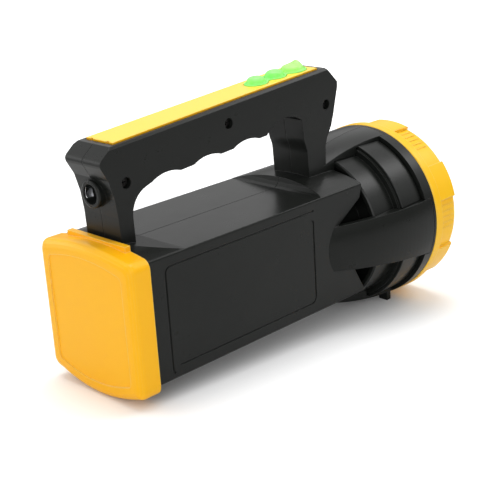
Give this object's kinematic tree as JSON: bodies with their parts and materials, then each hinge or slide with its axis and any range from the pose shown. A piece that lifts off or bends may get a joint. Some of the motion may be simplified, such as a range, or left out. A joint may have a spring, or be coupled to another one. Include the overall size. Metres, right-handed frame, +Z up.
{
  "type": "flashlight",
  "caption": "Box-bodied hand lamp with a carrying handle on top, a round lamp head with a screw bezel, push buttons, a rear cap and a folding side crank that drives a generator.",
  "frame": {"origin": "middle of the footprint's box, at the height of the bezel's lowest point", "axes": "+X along the lamp's axis from the rear cap to the bezel, +Y to the left side that carries the crank, +Z up"},
  "size_m": [0.208, 0.0914, 0.1342],
  "materials": {
    "black_plastic": "fine matte moulded plastic",
    "orange_plastic": "satin moulded plastic",
    "green_silicone": "matte silicone",
    "pale_green_silicone": "matte silicone",
    "black_steel": "blackened steel",
    "brass": "turned",
    "clear_lens": "clear polished",
    "black_rubber": "matte",
    "chrome": "mirror bright plating",
    "aluminium": "bare",
    "yellow_resin": "clear resin over phosphor",
    "board": "lacquered board",
    "dark_plastic": "moulded",
    "cell_wrap": "shrink film",
    "steel": "plain",
    "iron": "laminated",
    "nylon": "natural nylon",
    "copper": "enamelled wire",
    "wire": "insulated"
  },
  "bodies": {
    "lamp": {"body_right": "black_plastic", "body_left": "black_plastic", "rear_cap": "orange_plastic", "handle_strip": "orange_plastic", "keypad_web": "green_silicone", "handle_screws": "black_steel", "charge_socket": "black_plastic", "charge_contact": "brass", "lamp_housing": "black_plastic", "lens": "clear_lens", "lens_seal": "black_rubber", "reflector": "chrome", "led_board": "aluminium", "led_emitter": "yellow_resin", "heat_sink": "aluminium", "switch_board": "board", "switches": "dark_plastic", "battery_holder": "dark_plastic", "battery_cell_lower": "cell_wrap", "battery_cell_upper": "cell_wrap", "battery_contacts": "steel", "control_board": "board", "board_parts": "dark_plastic", "crank_bush": "brass", "gear_axles": "steel", "gear_plate": "steel", "plate_screws": "steel", "generator_can": "steel", "generator_core": "iron", "generator_coils": "copper", "lamp_wires": "wire", "charge_wires": "wire", "switch_wires": "wire", "generator_wires": "wire"},
    "bezel": {"bezel_ring": "orange_plastic"},
    "crank": {"crank_drum": "black_plastic", "crank_shaft": "steel", "drive_gear": "nylon", "hinge_pin": "steel"},
    "arm": {"crank_arm": "black_plastic", "knob_pin": "steel"},
    "knob": {"crank_knob": "black_plastic"},
    "first_gear": {"gear_one": "nylon"},
    "second_gear": {"gear_two": "nylon"},
    "rotor": {"generator_rotor": "iron"},
    "key_rear": {"button_rear": "green_silicone"},
    "key_middle": {"button_middle": "green_silicone"},
    "key_front": {"button_front": "pale_green_silicone"}
  },
  "joints": [
    {"name": "crank_spin", "type": "hinge", "parent": "lamp", "child": "crank", "pos_m": [-0.046, 0.02, 0.0467], "axis": [0, 1, 0], "continuous": true},
    {"name": "crank_fold", "type": "hinge", "parent": "crank", "child": "arm", "pos_m": [-0.028, 0.0315, 0.0467], "axis": [0, 0, -1], "range_deg": [0, 180]},
    {"name": "knob_spin", "type": "hinge", "parent": "arm", "child": "knob", "pos_m": [-0.06, 0.02, 0.0467], "axis": [0, 1, 0], "continuous": true},
    {"name": "gear_one_spin", "type": "hinge", "parent": "lamp", "child": "first_gear", "pos_m": [-0.02435, 0.004, 0.0342], "axis": [0, 1, 0], "continuous": true},
    {"name": "gear_two_spin", "type": "hinge", "parent": "lamp", "child": "second_gear", "pos_m": [-0.0138, 0, 0.04927], "axis": [0, 1, 0], "continuous": true},
    {"name": "rotor_spin", "type": "hinge", "parent": "lamp", "child": "rotor", "pos_m": [-0.00069, 0, 0.0401], "axis": [0, 1, 0], "continuous": true},
    {"name": "bezel_turn", "type": "hinge", "parent": "lamp", "child": "bezel", "pos_m": [0.094, 0, 0.0457], "axis": [1, 0, 0], "range_deg": [0, 90]},
    {"name": "button_rear_press", "type": "slide", "parent": "lamp", "child": "key_rear", "axis": [0.0711, 0, -0.9975], "range_m": [0, 0.0008], "stiffness_N_per_m": 400, "springref_m": -0.0006},
    {"name": "button_middle_press", "type": "slide", "parent": "lamp", "child": "key_middle", "axis": [0.0711, 0, -0.9975], "range_m": [0, 0.0008], "stiffness_N_per_m": 400, "springref_m": -0.0006},
    {"name": "button_front_press", "type": "slide", "parent": "lamp", "child": "key_front", "axis": [0.0711, 0, -0.9975], "range_m": [0, 0.0008], "stiffness_N_per_m": 400, "springref_m": -0.0006}
  ],
  "couplings": [
    {"joint": "gear_one_spin", "follows": "crank_spin", "ratio": -4},
    {"joint": "gear_two_spin", "follows": "crank_spin", "ratio": 14.4},
    {"joint": "rotor_spin", "follows": "crank_spin", "ratio": -43.2}
  ]
}
